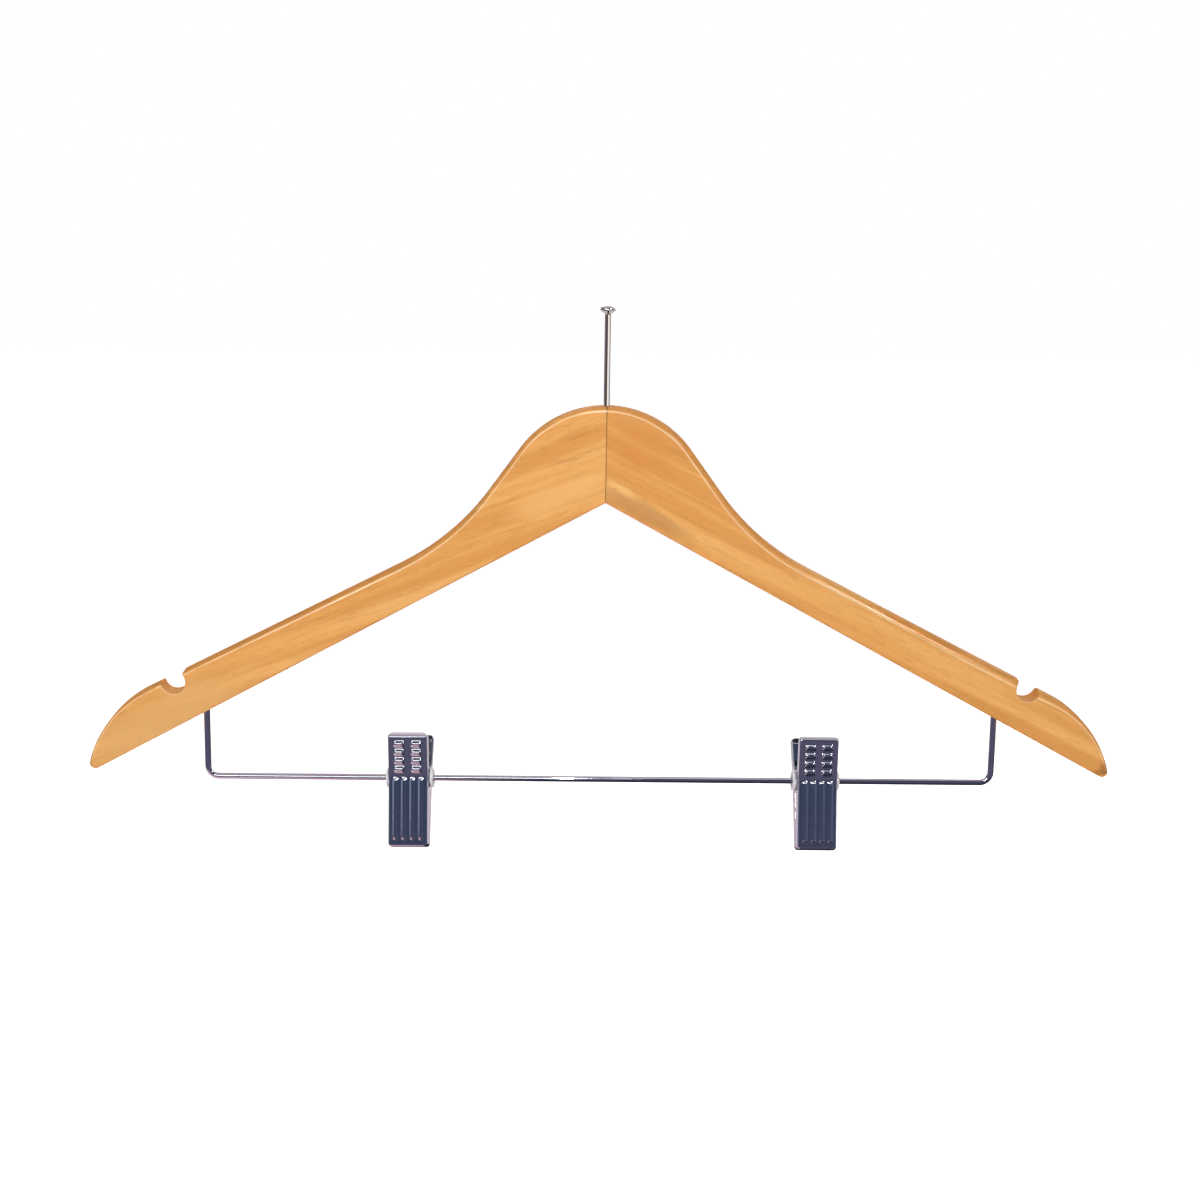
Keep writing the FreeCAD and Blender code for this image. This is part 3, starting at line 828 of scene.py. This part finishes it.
def add_ear(bm, inner_x, outer_x):
    """Add a flat ring about the pivot, between two places along X."""
    upright = Matrix.Translation((inner_x, 0, 0)) @ Matrix.Rotation(math.radians(90), 4, "Y")
    rings = []
    for radius in (hole_radius, ear_radius):
        circle = bmesh.ops.create_circle(bm, cap_ends=False, segments=ear_sides, radius=radius,
                                         matrix=upright)
        rings += {edge for vert in circle["verts"] for edge in vert.link_edges}
    faces = bmesh.ops.bridge_loops(bm, edges=rings)["faces"]
    made = bmesh.ops.extrude_face_region(bm, geom=faces)
    bmesh.ops.translate(bm, verts=verts_of(made), vec=(outer_x - inner_x, 0, 0))
    whole = faces + [part for part in made["geom"] if isinstance(part, bmesh.types.BMFace)]
    whole = list({face for part in whole for vert in part.verts for face in vert.link_faces})
    bmesh.ops.recalc_face_normals(bm, faces=whole)


def add_tongue(bm, low_x, high_x):
    """Add the tongue that carries an inner ear from the plate."""
    verts = bmesh.ops.create_cube(bm, size=1)["verts"]
    for vert in verts:
        vert.co.x = low_x if vert.co.x < 0 else high_x
        vert.co.z *= tongue_height
        vert.co.y = plate_depth(vert.co.z) + tongue_foot if vert.co.y < 0 else tongue_end
    bmesh.ops.recalc_face_normals(bm, faces=list({face for vert in verts for face in vert.link_faces}))


print("ears are", 2 * ear_radius, "mm across, with a hole of", 2 * hole_radius, "mm")

# %% Finished jaws
front_free, back_free = 4.0, 5.2
ear_proud, inner_ear = 0.01, 6.98
for side, place in clip_place.items():
    bm = pressed_jaw(front_free)
    for hand in (-1, 1):
        add_ear(bm, hand * (plate_half - sheet), hand * (plate_half + ear_proud))
    bm.transform(place)
    soften(bm, crisp_angle)
    piece(bm, side + "_clip_front_jaw", chrome)

    bm = pressed_jaw(back_free)
    for hand in (-1, 1):
        ear = (hand * inner_ear, hand * (inner_ear + sheet))
        add_ear(bm, *ear)
        add_tongue(bm, *sorted(ear))
    bmesh.ops.scale(bm, verts=bm.verts, vec=(1, -1, 1))
    bmesh.ops.reverse_faces(bm, faces=bm.faces)
    bm.transform(place)
    soften(bm, crisp_angle)
    piece(bm, side + "_clip_back_jaw", chrome)

# %% [markdown]
# The bush that runs on the bar is moulded from milky natural nylon: light sinks in a little, so it looks soft
# and slightly warm. It is a turned shape, a tube with a rounded flange at each end, so it is spun as the pin
# was.

# %% Natural nylon
milky_spot = 3 * mm
nylon, tree, shader = new_finish("moulded_natural_nylon")
place = put(tree, "TexCoord", {}).outputs["Object"]
cloud = put(tree, "TexNoise", {"Vector": place, "Scale": 1 / milky_spot, "Detail": 2.0})
tint = put(tree, "Mix", {0: cloud.outputs[0], 6: linear("#EAE8EC"), 7: linear("#D8D6DC")}, data_type="RGBA")
feed(tree, shader, {
    "Base Color": tint.outputs[2],
    "Roughness": 0.35,
    "Subsurface Weight": 0.3,
    "Subsurface Radius": (1.5 * mm, 1.3 * mm, 1.1 * mm),
    "Subsurface Scale": 1.0,
})
print("plastic:", nylon.name)

# %% Bushes
bore, tube, flange, flange_round = 2.41, 3.11, 4.4, 0.6
bush_half, shoulder = 10.35, 8.85
flange_angle = 50
round_turns = [math.radians(turn) for turn in (0, 45, 90)]
round_out = [(flange - flange_round * (1 - math.sin(turn)), flange_round * (1 - math.cos(turn)))
             for turn in round_turns]
outer_round = [(radius, inset - bush_half) for radius, inset in round_out]
inner_round = [(radius, -inset - shoulder) for radius, inset in reversed(round_out)]
left_end = [(bore, -bush_half)] + outer_round + inner_round + [(tube, -shoulder)]
right_end = [(radius, -along) for radius, along in reversed(left_end)]
for side, place in clip_place.items():
    bm = turned(left_end + right_end + left_end[:1], Vector((1, 0, 0)))
    bm.transform(place)
    soften(bm, flange_angle)
    piece(bm, side + "_clip_bush", nylon)

# %% [markdown]
# A torsion spring is wire wound about the bush with a leg against each handle. Its coil could be swung like
# the bar's bends with a small advance, but the imported model already holds the wound wire, so a merged copy of
# it is shaded smooth. In the real clip one end goes with each jaw when it is squeezed. The copy here rides
# neither body and does not bend.

# %% Springs
for side, place in clip_place.items():
    bm = merged_copy(side + "_clip_spring")
    soften(bm, crisp_angle)
    spring = dressed(bm, side + "_clip_spring", spring_steel)
    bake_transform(spring)
    print(spring.name, "bends between the jaws")
